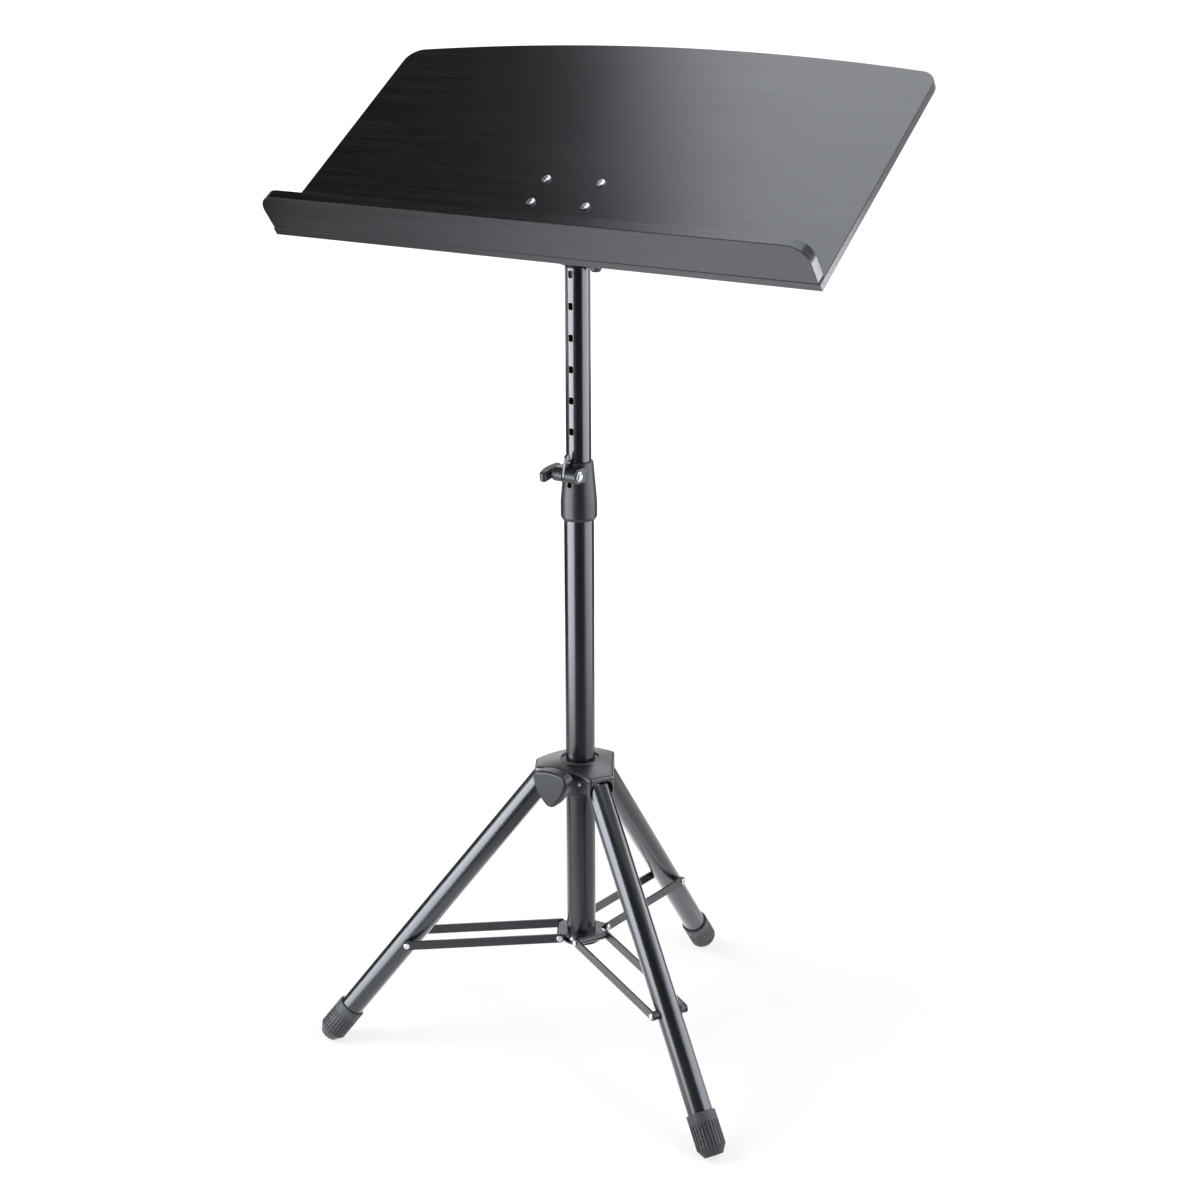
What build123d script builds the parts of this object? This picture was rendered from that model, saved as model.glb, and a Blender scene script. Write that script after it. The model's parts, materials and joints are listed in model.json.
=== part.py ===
# A free-standing music stand: wooden desk on a tilting bracket, telescoping tube, folding three-leg base.
# Millimetres. The origin is on the floor under the tube axis, +Z is up, the desk faces -Y.
# Tripod pieces are drawn for a leg that points along +X and are then turned to their place.

import os
from math import cos, dist, hypot, radians, sin, sqrt

from build123d import *

os.makedirs("parts", exist_ok=True)

# Clearances
slip = 0.05
running = 0.06
side_gap = 0.3

# Tubes
column_radius = 15.0
column_wall = 2.0
column_bottom = 122.5
column_top = 611.0
mast_radius = 12.5
mast_wall = 1.5
mast_overlap = 261.0
mast_show = 223.0
guide_length = 12.0
guide_plug = 25.0
guide_chamfer = 1.0
column_bore = column_radius - column_wall
mast_bore = mast_radius - mast_wall
mast_bottom = column_top - mast_overlap
mast_top = column_top + mast_show

# Row of slots in the mast
slot_pitch = 31.0
slot_count = 13
slot_width = 5.0
slot_height = 7.0
slot_corner = 1.2

# Clamp collar on top of the column
collar_seat = 28.5
collar_neck = 31.0
collar_wall = 3.2
collar_rim = 2.0
collar_straight = 18.5
collar_chamfer = 3.0
clamp_offset = 7.5
clamp_rise = 20.0
lug_radius = 7.3
lug_end = 13.7
slit_width = 4.2
slit_depth = 11.5
slit_hole_radius = 2.6
collar_bottom = column_top - collar_seat
collar_top = column_top + collar_neck
collar_radius = column_radius + collar_wall
clamp_y = -(mast_radius + clamp_offset)
clamp_z = column_top + clamp_rise

# Screws, nuts and T-handles
screw_radius = 3.0
screw_end = 1.2
screw_chamfer = 0.7
nut_across = 10.0
nut_height = 5.0
nut_stand = 1.6
nut_chamfer = 0.5
handle_length = 31.0
handle_width = 10.5
handle_hub_radius = 5.2
handle_gap = 2.2
handle_tip = 8.6
handle_crown = 12.6
handle_corner = 3.0
handle_edge = 2.4
handle_seat = 7.0
height_handle_turn = 9.0
tilt_handle_turn = 84.0

# Index lever, drawn from the clamp axis
lever_thickness = 3.0
lever_ring = 7.0
lever_head = 4.0
lever_head_rise = 16.9
lever_lean = 0.4
lever_eye = 2.2
lever_edge = 0.6
tooth_gap = 0.4
tooth_low = 10.0
tooth_high = 14.0
slot_rise = 11.0
slot_z = clamp_z + slot_rise
tooth_tip = clamp_offset - tooth_gap
tooth_middle = (tooth_low + tooth_high) / 2

# Desk, drawn from the tilt pivot: v runs up the board, n stands on the board
desk_tilt = 36.1
pivot_rise = 12.0
desk_low = -63.0
board_top = 59.6
board_thickness = 9.0
desk_width = 625.0
desk_taper = 4.0
desk_side = 276.0
desk_crown = 21.0
desk_corner = 20.0
board_edge = 1.0
board_foot_corner = 4.0
lip_height = 43.0
lip_thickness = 11.0
lip_inset = 1.5
lip_corner = 20.0
lip_edge = 0.7
lip_screw_spacing = 130.0
lip_screw_radius = 2.0
lip_screw_head = 4.0
lip_screw_length = 30.0
bolt_x = 31.5
bolt_low = 4.0
bolt_high = 36.4
bolt_radius = 3.0
bolt_head_radius = 4.8
bolt_head_height = 2.8
bolt_end = 1.5
pivot_z = mast_top + pivot_rise
board_under = board_top - board_thickness
desk_top_width = desk_width - 2 * desk_taper
lip_width = desk_width - 2 * lip_inset

# Tilt bracket
plate_width = 84.0
plate_margin = 12.0
plate_thickness = 3.0
plate_corner = 7.0
yoke_inner = 13.0
yoke_sheet = 3.0
yoke_eye = 12.0
yoke_low = -6.0
yoke_high = 40.0
head_radius = 11.0
head_gap = 0.1
head_flange = 3.0
head_plug = 32.0
washer_thickness = 1.0
plate_under = board_under - plate_thickness
head_half = yoke_inner - head_gap - washer_thickness
washer_radius = pivot_rise - head_flange - 0.2
yoke_outer = yoke_inner + yoke_sheet

# Tripod legs
leg_turn = 2.7
leg_splay = 38.1
leg_radius = 12.5
leg_wall = 1.5
leg_tongue = 8.5
leg_tongue_length = 8.0
leg_insert = 33.0
hinge_radius = 32.6
hinge_pin_radius = 2.5
brace_reach = 244.9
foot_rim = 347.1
foot_radius = 14.75
foot_straight = 34.2
foot_cone = 8.6
foot_tip_radius = 9.5
foot_sole = 0.8
foot_edge = 0.9
groove_count = 26
groove_width = 1.3
groove_depth = 0.7
groove_start = 10.0
splay_sin = sin(radians(leg_splay))
splay_cos = cos(radians(leg_splay))
foot_end = foot_rim + foot_straight + foot_cone
hinge_z = foot_end * splay_cos + foot_tip_radius * splay_sin - foot_sole

# Braces and their hub
hub_pin_radius_out = 22.3
hub_pin_z = 129.7
hub_pin_radius = 2.2
barrel_radius = 3.4
barrel_half = 17.2
hub_wall = 3.0
hub_plate = 2.0
hub_plate_rise = 1.7
hub_notch_radius = 19.9
hub_lower_radius = 21.0
hub_rivet_z = 127.4
hub_rivet_radius = 2.0
hub_rivet_head = 2.7
hub_rivet_height = 1.6
plug_flange = 2.0
plug_length = 14.0
strip_thickness = 2.0
strip_height = 9.5
rivet_head_radius = 3.3
rivet_head_height = 1.6
bush_radius = 4.5
strip_inner = barrel_half + side_gap
strip_outer = strip_inner + strip_thickness

# Bell that carries the legs
bell_leg_face = 46.6
bell_between_face = 34.6
bell_sheet = 2.0
bell_drop = 10.5
bell_dome_radius = 150.0
bell_shoulder_rise = 8.4
bell_shoulder_radius = 47.4
bell_round = 3.4
window_border = 4.0
window_drop = 4.5
window_corner = 3.0
neck_gap = 4.4
neck_wall = 2.0
neck_depth = 7.0
bead_radius = 0.8
arch_half = 12.9
arch_rise = 3.8
arch_corner = 9.0
core_rise = 6.6
core_setback = 0.6
core_hollow_width = 36.0
core_hollow_depth = 7.0
sleeve_drop = 0.6
pin_end = 19.8
pin_round = 0.8
bell_bottom = hinge_z - bell_drop
bell_shoulder = hinge_z + bell_shoulder_rise
dome_centre = bell_shoulder - sqrt(bell_dome_radius ** 2 - bell_shoulder_radius ** 2)
neck_radius = column_radius + neck_gap

# Tripod knob
knob_rise = 1.8
knob_front = 60.2
knob_thickness = 14.0
knob_lobe = 8.0
knob_reach = 22.0
knob_side_radius = 42.0
knob_edge = 3.0
knob_neck_radius = 8.2
stud_radius = 4.0
stud_gap = 0.3
stud_depth = 8.0
stud_chamfer = 0.8
knob_z = hinge_z + knob_rise
knob_back = knob_front - knob_thickness

# Directions and planes
tilt_sin = sin(radians(desk_tilt))
tilt_cos = cos(radians(desk_tilt))
pivot = Vector(0, 0, pivot_z)
board_up = Vector(0, tilt_cos, tilt_sin)
board_out = Vector(0, -tilt_sin, tilt_cos)
desk_plane = Plane(origin=pivot, x_dir=(1, 0, 0), z_dir=board_out)
yoke_plane = Plane(origin=pivot, x_dir=board_up, z_dir=(1, 0, 0))
lip_origin = pivot + board_up * desk_low + board_out * board_top
lip_plane = Plane(origin=lip_origin, x_dir=(1, 0, 0), z_dir=board_up * -1)
leg_line = Vector(splay_sin, 0, -splay_cos)
leg_plane = Plane(origin=(hinge_radius, 0, hinge_z), x_dir=(0, 1, 0), z_dir=leg_line)
leg_side = Plane(origin=(hinge_radius, 0, hinge_z), x_dir=leg_line, z_dir=(0, 1, 0))
front_azimuth = leg_turn - 30.0
leg_azimuths = {"front": front_azimuth, "back": front_azimuth + 120.0, "left": front_azimuth + 240.0}
between_azimuths = [60.0, 180.0, 300.0]
knob_azimuth = front_azimuth - 60.0


def save(piece, label):
    """Label one piece and write it to its own file."""
    piece.label = label
    export_step(piece, f"parts/{label}.step")


def turned(piece, angle):
    """A copy of a piece, turned about the tube axis."""
    return piece.rotate(Axis.Z, angle)


def hexagon_points(leg_face, between_face):
    """Corners of a six-sided outline with three leg faces and three faces between them."""
    half = (between_face - leg_face * cos(radians(60))) / sin(radians(60))
    points = []
    for turn in (0, 120, 240):
        for side in (-half, half):
            angle = radians(turn)
            x = leg_face * cos(angle) - side * sin(angle)
            y = leg_face * sin(angle) + side * cos(angle)
            points.append((x, y))
    return points


def t_handle(origin, outward, along):
    """T-handle, flat towards its hub and crowned outside: hub face at the origin, bored for its screw."""
    across = along.cross(outward)
    hub_plane = Plane(origin=origin, x_dir=along, z_dir=outward)
    bar_plane = Plane(origin=origin, x_dir=along, z_dir=across)
    half = handle_length / 2
    with BuildPart() as handle:
        with BuildSketch(bar_plane):
            with BuildLine():
                Polyline((half, handle_tip), (half, handle_gap), (-half, handle_gap), (-half, handle_tip))
                ThreePointArc((-half, handle_tip), (0, handle_crown), (half, handle_tip))
            bar_face = make_face()
            fillet(bar_face.vertices(), handle_corner)
        extrude(amount=handle_width / 2, both=True)
        bar_sides = handle.faces().sort_by(Axis(origin, across))
        fillet(bar_sides[0].edges() + bar_sides[-1].edges(), handle_edge)
        with BuildSketch(hub_plane):
            Circle(handle_hub_radius)
        extrude(amount=handle_gap + handle_edge)
        with BuildSketch(hub_plane):
            Circle(screw_radius + slip)
        extrude(amount=handle_seat + 1, mode=Mode.SUBTRACT)
    return handle.part


# Outer tube of the column
with BuildPart() as outer_tube:
    with BuildSketch(Plane.XY.offset(column_bottom)):
        Circle(column_radius)
        Circle(column_bore, mode=Mode.SUBTRACT)
    extrude(amount=column_top - column_bottom)
    for azimuth in between_azimuths:
        with BuildSketch(Plane.YZ.rotated((0, 0, azimuth))):
            with Locations((0, hub_rivet_z)):
                Circle(hub_rivet_radius + slip)
        extrude(amount=column_radius + 1, mode=Mode.SUBTRACT)
save(turned(outer_tube.part, front_azimuth), "outer_tube")

# Plug in the lower end of the column
with BuildPart() as column_plug:
    with BuildSketch(Plane.XY.offset(column_bottom)):
        Circle(column_radius)
    extrude(amount=-plug_flange)
    fillet(column_plug.edges().sort_by(Axis.Z)[:1], plug_flange / 2)
    with BuildSketch(Plane.XY.offset(column_bottom)):
        Circle(column_bore - slip)
    extrude(amount=plug_length)
save(column_plug.part, "column_plug")

# Clamp collar: seat on the column, guide for the mast, slit and two lugs
with BuildPart() as clamp_collar:
    with BuildSketch(Plane.XZ):
        with BuildLine():
            Polyline(
                (column_radius + slip, collar_bottom),
                (collar_radius - collar_chamfer / 2, collar_bottom),
                (collar_radius, collar_bottom + collar_chamfer),
                (collar_radius, collar_bottom + collar_straight),
                (mast_radius + running + collar_rim, collar_top),
                (mast_radius + running, collar_top),
                (mast_radius + running, column_top),
                (column_radius + slip, column_top),
                close=True,
            )
        make_face()
    revolve(axis=Axis.Z)
    fillet(clamp_collar.edges().group_by(Axis.Z)[-1].sort_by(SortBy.RADIUS)[-1], collar_rim / 2)
    with BuildSketch(Plane.YZ):
        with Locations((clamp_y, clamp_z)):
            Circle(lug_radius)
        with Locations((clamp_y / 2, clamp_z)):
            Rectangle(abs(clamp_y), lug_radius * 2)
    extrude(amount=lug_end, both=True)
    with BuildSketch(Plane.XY.offset(column_top)):
        Circle(mast_radius + running)
    extrude(amount=collar_neck + 1, mode=Mode.SUBTRACT)
    with BuildSketch(Plane.XZ):
        with Locations((0, clamp_z - slit_depth)):
            Circle(slit_hole_radius)
        with Locations((0, clamp_z - slit_depth)):
            Rectangle(slit_width, slit_depth + collar_neck, align=(Align.CENTER, Align.MIN))
    extrude(amount=abs(clamp_y) + lug_radius + 1, mode=Mode.SUBTRACT)
    with BuildSketch(Plane.YZ):
        with Locations((clamp_y, clamp_z)):
            Circle(screw_radius + running)
    extrude(amount=lug_end + 1, both=True, mode=Mode.SUBTRACT)
    with BuildSketch(Plane.YZ.offset(lug_end - nut_height + nut_stand)):
        with Locations((clamp_y, clamp_z)):
            RegularPolygon(nut_across / 2 + slip, 6, major_radius=False)
    extrude(amount=nut_height, mode=Mode.SUBTRACT)
save(clamp_collar.part, "clamp_collar")

# Nut in the right lug of the collar
with BuildPart() as clamp_nut:
    with BuildSketch(Plane.YZ.offset(lug_end - nut_height + nut_stand)):
        with Locations((clamp_y, clamp_z)):
            RegularPolygon(nut_across / 2, 6, major_radius=False)
            Circle(screw_radius + running, mode=Mode.SUBTRACT)
    extrude(amount=nut_height)
    chamfer(clamp_nut.faces().sort_by(Axis.X)[-1].edges().filter_by(GeomType.LINE), nut_chamfer)
save(clamp_nut.part, "clamp_nut")

# Height screw and its T-handle
with BuildPart() as height_screw:
    with BuildSketch(Plane.YZ.offset(-lug_end - side_gap - handle_seat)):
        with Locations((clamp_y, clamp_z)):
            Circle(screw_radius)
    extrude(amount=2 * lug_end + side_gap + handle_seat + nut_stand + screw_end)
    chamfer(height_screw.edges().sort_by(Axis.X)[-1], screw_chamfer)
save(height_screw.part, "height_screw")

height_angle = radians(height_handle_turn)
height_handle = t_handle(
    Vector(-lug_end - side_gap, clamp_y, clamp_z),
    Vector(-1, 0, 0),
    Vector(0, cos(height_angle), sin(height_angle)),
)
save(height_handle, "height_handle")

# Index lever between the two lugs: ring on the screw, rounded head with an eye, tooth for the slots
with BuildPart() as index_lever:
    with BuildSketch(Plane.YZ):
        with Locations((clamp_y, clamp_z)):
            Circle(lever_ring)
        with Locations((clamp_y + lever_lean, clamp_z + lever_head_rise)):
            Circle(lever_head)
        make_hull()
        with Locations((clamp_y, clamp_z + tooth_middle)):
            Rectangle(tooth_tip, tooth_high - tooth_low, align=(Align.MIN, Align.CENTER))
        with Locations((clamp_y, clamp_z)):
            Circle(screw_radius + running, mode=Mode.SUBTRACT)
        with Locations((clamp_y + lever_lean, clamp_z + tooth_middle)):
            Circle(lever_eye, mode=Mode.SUBTRACT)
    extrude(amount=lever_thickness / 2, both=True)
    lever_sides = index_lever.faces().filter_by(Axis.X).sort_by(SortBy.AREA)[-2:]
    fillet([edge for side in lever_sides for edge in side.outer_wire().edges()], lever_edge)
save(index_lever.part, "index_lever")

# Inner tube with its row of slots
with BuildPart() as inner_tube:
    with BuildSketch(Plane.XY.offset(mast_bottom)):
        Circle(mast_radius)
        Circle(mast_bore, mode=Mode.SUBTRACT)
    extrude(amount=mast_top - mast_bottom)
    with BuildSketch(Plane.XZ):
        with Locations((0, slot_z)):
            with GridLocations(slot_width, slot_pitch, 1, slot_count):
                RectangleRounded(slot_width, slot_height, slot_corner)
    extrude(amount=mast_radius + 1, mode=Mode.SUBTRACT)
save(inner_tube.part, "inner_tube")

# Guide at the lower end of the inner tube
with BuildPart() as mast_guide:
    with BuildSketch(Plane.XY.offset(mast_bottom)):
        Circle(column_bore - running)
    extrude(amount=-guide_length)
    chamfer(mast_guide.edges().sort_by(Axis.Z)[0], guide_chamfer)
    with BuildSketch(Plane.XY.offset(mast_bottom)):
        Circle(mast_bore - slip)
    extrude(amount=guide_plug)
save(mast_guide.part, "mast_guide")

# Tilt head in the top of the inner tube
with BuildPart() as tilt_head:
    with BuildSketch(Plane.XY.offset(mast_top)):
        Circle(mast_radius)
    extrude(amount=head_flange)
    with BuildSketch(Plane.XY.offset(mast_top)):
        Circle(mast_bore - slip)
    extrude(amount=-head_plug)
    with BuildSketch(Plane.YZ):
        with Locations((0, pivot_z)):
            Circle(head_radius)
    extrude(amount=head_half, both=True)
    with BuildSketch(Plane.YZ):
        with Locations((0, pivot_z)):
            Circle(screw_radius + running)
    extrude(amount=head_half + 1, both=True, mode=Mode.SUBTRACT)
save(tilt_head.part, "tilt_head")

# Friction washers on both ends of the head
with BuildPart() as friction_washers:
    for start in (head_half, -head_half - washer_thickness):
        with BuildSketch(Plane.YZ.offset(start)):
            with Locations((0, pivot_z)):
                Circle(washer_radius)
                Circle(screw_radius + running, mode=Mode.SUBTRACT)
        extrude(amount=washer_thickness)
save(friction_washers.part, "friction_washers")

# Yoke that turns on the head
with BuildPart() as tilt_yoke:
    with BuildSketch(yoke_plane):
        Circle(yoke_eye)
        with Locations(((yoke_low + yoke_high) / 2, plate_under)):
            Rectangle(yoke_high - yoke_low, 2 * yoke_sheet, align=(Align.CENTER, Align.MAX))
        make_hull()
    extrude(amount=yoke_outer, both=True)
    bend_edges = tilt_yoke.edges().filter_by(lambda edge: abs(edge.tangent_at(0.5).dot(board_up)) > 0.99)
    fillet(bend_edges.sort_by(Axis(pivot, board_out))[-2:], yoke_sheet * 0.9)
    with BuildSketch(yoke_plane):
        with Locations((0, plate_under - yoke_sheet)):
            Rectangle(4 * yoke_high, 4 * board_top, align=(Align.CENTER, Align.MAX))
    extrude(amount=yoke_inner, both=True, mode=Mode.SUBTRACT)
    with BuildSketch(yoke_plane):
        Circle(screw_radius + running)
    extrude(amount=yoke_outer + 1, both=True, mode=Mode.SUBTRACT)
save(tilt_yoke.part, "tilt_yoke")

# Nut on the left cheek of the yoke
with BuildPart() as tilt_nut:
    with BuildSketch(Plane.YZ.offset(-yoke_outer)):
        with Locations((0, pivot_z)):
            RegularPolygon(nut_across / 2, 6, major_radius=False)
            Circle(screw_radius + running, mode=Mode.SUBTRACT)
    extrude(amount=-nut_height)
    chamfer(tilt_nut.faces().sort_by(Axis.X)[0].edges().filter_by(GeomType.LINE), nut_chamfer)
save(tilt_nut.part, "tilt_nut")

# Tilt screw and its T-handle
with BuildPart() as tilt_screw:
    with BuildSketch(Plane.YZ.offset(-yoke_outer - nut_height - screw_end)):
        with Locations((0, pivot_z)):
            Circle(screw_radius)
    extrude(amount=2 * yoke_outer + nut_height + screw_end + side_gap + handle_seat)
    chamfer(tilt_screw.edges().sort_by(Axis.X)[0], screw_chamfer)
save(tilt_screw.part, "tilt_screw")

tilt_angle = radians(tilt_handle_turn)
tilt_handle = t_handle(
    Vector(yoke_outer + side_gap, 0, pivot_z),
    Vector(1, 0, 0),
    Vector(0, cos(tilt_angle), sin(tilt_angle)),
)
save(tilt_handle, "tilt_handle")

# Desk board with a crowned top edge
bolt_points = [(x, v) for x in (-bolt_x, bolt_x) for v in (bolt_low, bolt_high)]
lip_screw_points = [(lip_screw_spacing * step * 0.9, desk_low + lip_thickness / 2) for step in range(-2, 3)]
with BuildPart() as desk_board:
    with BuildSketch(desk_plane.offset(board_under)):
        with BuildLine():
            side_top = desk_low + desk_side
            Polyline(
                (desk_top_width / 2, side_top),
                (desk_width / 2, desk_low),
                (-desk_width / 2, desk_low),
                (-desk_top_width / 2, side_top),
            )
            ThreePointArc(
                (-desk_top_width / 2, side_top),
                (0, side_top + desk_crown),
                (desk_top_width / 2, side_top),
            )
        board_face = make_face()
        board_corners = board_face.vertices().sort_by(Axis.Y)
        fillet(board_corners[-2:], desk_corner)
        fillet(board_corners[:2], board_foot_corner)
    extrude(amount=board_thickness)
    out_axis = Axis(pivot, board_out)
    up_axis = Axis(pivot, board_up)
    upper_edges = desk_board.faces().sort_by(out_axis)[-1].edges()
    lower_edges = desk_board.faces().sort_by(out_axis)[0].edges()
    fillet(upper_edges + lower_edges, board_edge)
    with BuildSketch(desk_plane.offset(board_under)):
        with Locations(*bolt_points):
            Circle(bolt_radius + slip)
        with Locations(*lip_screw_points):
            Circle(lip_screw_radius + slip)
    extrude(amount=board_thickness, mode=Mode.SUBTRACT)
    with BuildSketch(desk_plane.offset(board_under)):
        with Locations(*lip_screw_points):
            Circle(lip_screw_head + slip)
    extrude(amount=lip_screw_head - lip_screw_radius, taper=45, mode=Mode.SUBTRACT)
save(desk_board.part, "desk_board")

# Front lip on the lower edge of the board
with BuildPart() as front_lip:
    with BuildSketch(lip_plane):
        lip_face = Rectangle(lip_width, lip_height, align=(Align.CENTER, Align.MIN))
        fillet(lip_face.vertices().sort_by(Axis.Y)[-2:], lip_corner)
    extrude(amount=-lip_thickness)
    front_edges = front_lip.faces().sort_by(up_axis)[0].edges()
    rear_edges = front_lip.faces().sort_by(up_axis)[-1].edges().sort_by(out_axis)[1:]
    fillet(front_edges + rear_edges, lip_edge)
    with BuildSketch(desk_plane.offset(board_top)):
        with Locations(*lip_screw_points):
            Circle(lip_screw_radius + slip)
    extrude(amount=lip_screw_length - board_thickness + 1, mode=Mode.SUBTRACT)
save(front_lip.part, "front_lip")

# Countersunk screws that hold the lip, from below
with BuildPart() as lip_screws:
    with BuildSketch(desk_plane.offset(board_under)):
        with Locations(*lip_screw_points):
            Circle(lip_screw_radius)
    extrude(amount=lip_screw_length)
    with BuildSketch(desk_plane.offset(board_under)):
        with Locations(*lip_screw_points):
            Circle(lip_screw_head)
    extrude(amount=lip_screw_head - lip_screw_radius, taper=45)
save(lip_screws.part, "lip_screws")

# Domed bolts through the board and the plate
with BuildPart() as desk_bolts:
    with BuildSketch(desk_plane.offset(board_top)):
        with Locations(*bolt_points):
            Circle(bolt_head_radius)
    extrude(amount=bolt_head_height)
    head_faces = desk_bolts.faces().group_by(out_axis)[-1]
    fillet(head_faces.edges(), bolt_head_height * 0.85)
    with BuildSketch(desk_plane.offset(board_top)):
        with Locations(*bolt_points):
            Circle(bolt_radius)
    extrude(amount=-(board_thickness + plate_thickness + nut_height + bolt_end))
save(desk_bolts.part, "desk_bolts")

# Nuts of the desk bolts
with BuildPart() as desk_nuts:
    with BuildSketch(desk_plane.offset(plate_under)):
        with Locations(*bolt_points):
            RegularPolygon(nut_across / 2, 6, major_radius=False)
            Circle(bolt_radius + slip, mode=Mode.SUBTRACT)
    extrude(amount=-nut_height)
save(desk_nuts.part, "desk_nuts")

# Plate under the board
with BuildPart() as bracket_plate:
    with BuildSketch(desk_plane.offset(plate_under)):
        with Locations((0, (bolt_low + bolt_high) / 2)):
            RectangleRounded(plate_width, bolt_high - bolt_low + 2 * plate_margin, plate_corner)
        with Locations(*bolt_points):
            Circle(bolt_radius + slip, mode=Mode.SUBTRACT)
    extrude(amount=plate_thickness)
save(bracket_plate.part, "bracket_plate")

# Brace hub on the lower end of the column
hub_top = hub_pin_z + hub_plate_rise + hub_plate
with BuildPart() as brace_hub:
    with BuildSketch(Plane.XY.offset(column_bottom)):
        Circle(column_radius + hub_wall)
    extrude(amount=hub_top - column_bottom)
    with BuildSketch(Plane.XY.offset(column_bottom)):
        Circle(hub_lower_radius)
    extrude(amount=hub_plate)
    with BuildSketch(Plane.XY.offset(hub_top - hub_plate)):
        Circle(hub_notch_radius)
        for azimuth in leg_azimuths.values():
            with Locations(Location((0, 0), azimuth - front_azimuth)):
                Rectangle(hub_pin_radius_out, 2 * barrel_half, align=(Align.MIN, Align.CENTER))
    extrude(amount=hub_plate)
    for azimuth in leg_azimuths.values():
        barrel_plane = Plane.XZ.rotated((0, 0, azimuth - front_azimuth))
        with BuildSketch(barrel_plane):
            with Locations((hub_pin_radius_out, hub_pin_z)):
                Circle(barrel_radius)
        extrude(amount=barrel_half, both=True)
    for azimuth in leg_azimuths.values():
        barrel_plane = Plane.XZ.rotated((0, 0, azimuth - front_azimuth))
        with BuildSketch(barrel_plane):
            with Locations((hub_pin_radius_out, hub_pin_z)):
                Circle(hub_pin_radius + running)
        extrude(amount=barrel_half + 1, both=True, mode=Mode.SUBTRACT)
    for azimuth in between_azimuths:
        with BuildSketch(Plane.YZ.rotated((0, 0, azimuth))):
            with Locations((0, hub_rivet_z)):
                Circle(hub_rivet_radius + slip)
        extrude(amount=hub_lower_radius, mode=Mode.SUBTRACT)
    with BuildSketch(Plane.XY.offset(column_bottom)):
        Circle(column_radius + slip)
    extrude(amount=hub_top - column_bottom, mode=Mode.SUBTRACT)
save(turned(brace_hub.part, front_azimuth), "brace_hub")

# Rivets that hold the hub on the column
with BuildPart() as hub_rivets:
    for azimuth in between_azimuths:
        radial_plane = Plane.YZ.rotated((0, 0, azimuth))
        with BuildSketch(radial_plane.offset(column_radius + hub_wall)):
            with Locations((0, hub_rivet_z)):
                Circle(hub_rivet_head)
        extrude(amount=hub_rivet_height)
    rivet_middle = column_radius + hub_wall + hub_rivet_height / 2
    rims = hub_rivets.edges().filter_by(GeomType.CIRCLE)
    outer_rims = [rim for rim in rims if hypot(rim.arc_center.X, rim.arc_center.Y) > rivet_middle]
    fillet(outer_rims, hub_rivet_height * 0.8)
    for azimuth in between_azimuths:
        radial_plane = Plane.YZ.rotated((0, 0, azimuth))
        with BuildSketch(radial_plane.offset(column_bore + slip)):
            with Locations((0, hub_rivet_z)):
                Circle(hub_rivet_radius)
        extrude(amount=column_wall + hub_wall)
save(turned(hub_rivets.part, front_azimuth), "hub_rivets")

# Bell shell: six-sided pressing under a dome, with three arches for the legs and windows between them
outer_points = hexagon_points(bell_leg_face, bell_between_face)
inner_points = hexagon_points(bell_leg_face - bell_sheet, bell_between_face - bell_sheet)
window_width = dist(outer_points[1], outer_points[2]) - 2 * window_border
dome_top = dome_centre + bell_dome_radius
with BuildPart() as bell_hollow:
    with BuildSketch(Plane.XY.offset(bell_bottom)):
        Polygon(*inner_points, align=None)
    extrude(amount=dome_top - bell_bottom)
    with BuildSketch(Plane.XZ):
        with Locations((0, dome_centre)):
            Circle(bell_dome_radius - bell_sheet)
        with Locations((0, dome_centre)):
            Rectangle(
                bell_dome_radius,
                4 * bell_dome_radius,
                align=(Align.MAX, Align.CENTER),
                mode=Mode.SUBTRACT,
            )
    revolve(axis=Axis.Z, mode=Mode.INTERSECT)

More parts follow.
